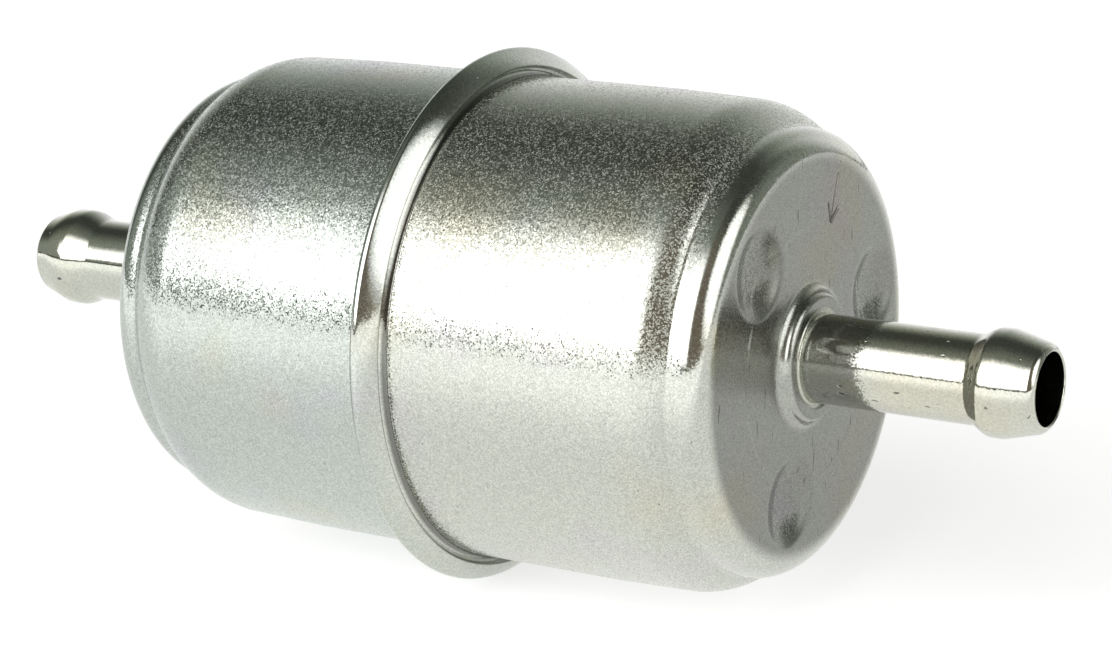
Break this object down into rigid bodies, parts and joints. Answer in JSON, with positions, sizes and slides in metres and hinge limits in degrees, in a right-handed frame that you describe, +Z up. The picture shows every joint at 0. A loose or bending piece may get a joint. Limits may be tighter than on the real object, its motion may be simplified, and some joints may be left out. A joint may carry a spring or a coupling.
{
  "type": "fuel filter",
  "caption": "Round in-line fuel filter: rolled-seam steel can with step-shouldered ends, a barbed hose tube in each end and a sealed pleated paper element.",
  "frame": {"origin": "on the can's axis in the seam plane, half-way between the two tube mouths", "axes": "+X along the can's axis towards the inlet barb, +Z up"},
  "size_m": [0.108, 0.0496, 0.0496],
  "materials": {
    "cup_plated_steel": "satin zinc plate with a fine orange-peel grain",
    "tube_plated_steel": "semi-gloss zinc plate",
    "braze_metal": "copper braze under the zinc plating, a little warmer than the cups",
    "gasket_rubber": "matte",
    "cap_tinned_steel": "tinned, semi-gloss",
    "potting": "cured plastisol",
    "filter_paper": "resin-impregnated filter paper",
    "core_steel": "tinned perforated sheet",
    "grommet_rubber": "matte"
  },
  "bodies": {
    "root": {"inlet_cup": "cup_plated_steel", "outlet_cup": "cup_plated_steel", "inlet_tube": "tube_plated_steel", "outlet_tube": "tube_plated_steel", "inlet_braze": "braze_metal", "outlet_braze": "braze_metal", "seam_gasket": "gasket_rubber", "closed_end_cap": "cap_tinned_steel", "open_end_cap": "cap_tinned_steel", "closed_end_potting": "potting", "open_end_potting": "potting", "filter_media": "filter_paper", "media_seam_clip": "cap_tinned_steel", "center_tube": "core_steel", "outlet_grommet": "grommet_rubber"}
  },
  "joints": []
}
